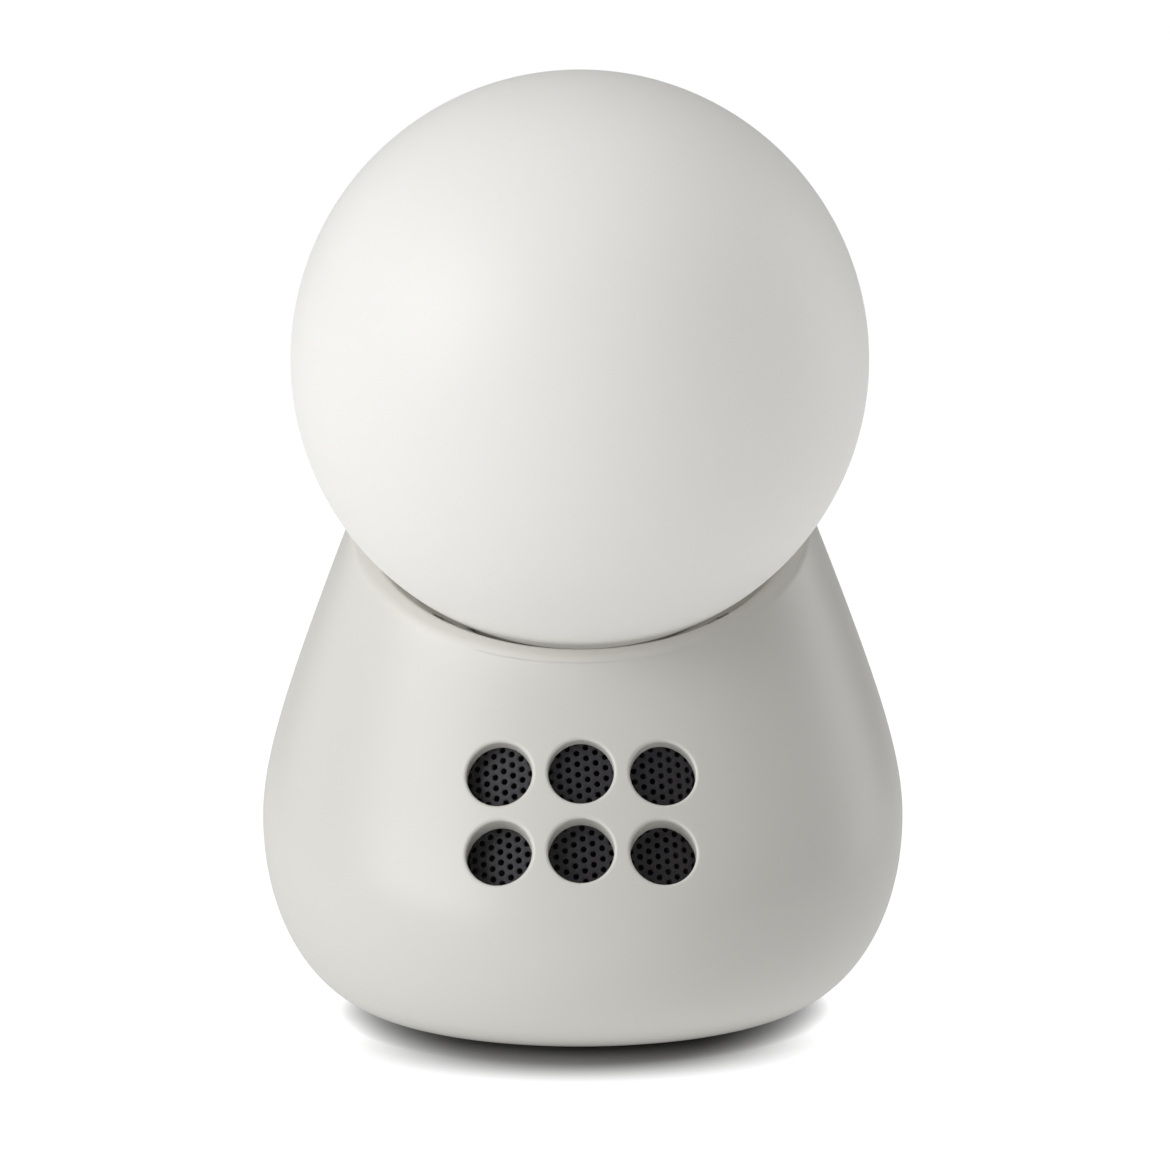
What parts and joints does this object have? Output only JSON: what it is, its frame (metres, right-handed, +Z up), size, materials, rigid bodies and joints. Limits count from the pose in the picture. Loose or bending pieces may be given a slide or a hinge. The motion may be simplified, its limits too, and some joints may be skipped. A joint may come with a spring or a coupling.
{
  "type": "smart speaker",
  "caption": "Smart speaker with a leaning pear-shaped body, a round-hole grille and an opal globe light in a tilted seat.",
  "frame": {"origin": "on the surface that the speaker stands on, under the middle of its whole outline", "axes": "+Z up, -Y towards the listener (the grille side), +X to the listener's right when facing the grille"},
  "size_m": [0.137, 0.1463, 0.2014],
  "materials": {
    "opal": "opal satin polycarbonate",
    "globe_neck_plastic": "moulded white ABS",
    "body_plastic": "satin-gloss off-white ABS",
    "collar_plastic": "moulded white ABS",
    "screw_steel": "zinc-plated screws",
    "plate_aluminium": "stamped",
    "led_board_mask": "white solder mask",
    "led_package": "phosphor and silicone",
    "reflector_plastic": "white polycarbonate",
    "mesh_steel": "charcoal powder coat",
    "frame_plastic": "black ABS",
    "gasket_foam": "closed-cell foam",
    "basket_steel": "black coated steel",
    "magnet_steel": "zinc-plated",
    "ferrite": "sintered ferrite",
    "spider_cloth": "resin-dipped cotton",
    "coil_copper": "enamelled copper on a former",
    "cone_paper": "coated paper",
    "surround_rubber": "butyl rubber",
    "panel_plastic": "fine-textured ABS",
    "button_plastic": "satin ABS",
    "switch_plastic": "moulded acetal",
    "board_mask": "green solder mask",
    "switch_housing": "black thermoplastic",
    "plated_steel": "tin-plated",
    "boot_rubber": "silicone",
    "light_pipe": "clear acrylic",
    "component_plastic": "moulded housings",
    "base_plastic": "textured ABS",
    "foot_silicone": "soft silicone",
    "led_wire": "PVC insulation",
    "speaker_wire": "PVC insulation",
    "control_wire": "PVC insulation"
  },
  "bodies": {
    "housing": {"body_shell": "body_plastic", "seat_collar": "collar_plastic", "seat_screws": "screw_steel", "light_plate": "plate_aluminium", "led_board": "led_board_mask", "leds": "led_package", "light_reflector": "reflector_plastic", "grille_mesh": "mesh_steel", "grille_frame": "frame_plastic", "grille_screws": "screw_steel", "driver_gasket": "gasket_foam", "driver_basket": "basket_steel", "top_plate": "magnet_steel", "magnet_ring": "ferrite", "pole_yoke": "magnet_steel", "rear_panel": "panel_plastic", "panel_screws": "screw_steel", "control_board": "board_mask", "tact_switches": "switch_housing", "slide_switch": "plated_steel", "microphone": "plated_steel", "mic_boot": "boot_rubber", "usb_inlet": "plated_steel", "status_light": "light_pipe", "main_board": "board_mask", "shield_can": "plated_steel", "board_parts": "component_plastic", "base_plate": "base_plastic", "base_screws": "screw_steel", "foot_ring": "foot_silicone", "led_cable": "led_wire", "speaker_cable": "speaker_wire", "control_cable": "control_wire"},
    "globe": {"globe_diffuser": "opal", "globe_neck": "globe_neck_plastic"},
    "cone": {"speaker_cone": "cone_paper", "dust_cap": "cone_paper", "voice_coil": "coil_copper", "cone_surround": "surround_rubber", "spider": "spider_cloth"},
    "volume_down_button": {"volume_down_button": "button_plastic"},
    "play_button": {"play_button": "button_plastic"},
    "light_button": {"light_button": "button_plastic"},
    "volume_up_button": {"volume_up_button": "button_plastic"},
    "mic_switch": {"mic_switch": "switch_plastic"}
  },
  "joints": [
    {"name": "globe_twist", "type": "hinge", "parent": "housing", "child": "globe", "pos_m": [0, 0.00551, 0.10581], "axis": [0, -0.4695, 0.8829], "range_deg": [0, 30]},
    {"name": "cone_travel", "type": "slide", "parent": "housing", "child": "cone", "axis": [0, -0.9397, 0.342], "range_m": [-0.0015, 0.0015], "stiffness_N_per_m": 1500, "deforming": ["cone_surround", "spider"]},
    {"name": "volume_down_press", "type": "slide", "parent": "housing", "child": "volume_down_button", "axis": [0, -1, 0], "range_m": [0, 0.0005], "stiffness_N_per_m": 1200},
    {"name": "play_press", "type": "slide", "parent": "housing", "child": "play_button", "axis": [0, -1, 0], "range_m": [0, 0.0005], "stiffness_N_per_m": 1200},
    {"name": "light_press", "type": "slide", "parent": "housing", "child": "light_button", "axis": [0, -1, 0], "range_m": [0, 0.0005], "stiffness_N_per_m": 1200},
    {"name": "volume_up_press", "type": "slide", "parent": "housing", "child": "volume_up_button", "axis": [0, -1, 0], "range_m": [0, 0.0005], "stiffness_N_per_m": 1200},
    {"name": "mic_switch_slide", "type": "slide", "parent": "housing", "child": "mic_switch", "axis": [1, 0, 0], "range_m": [0, 0.003]}
  ]
}
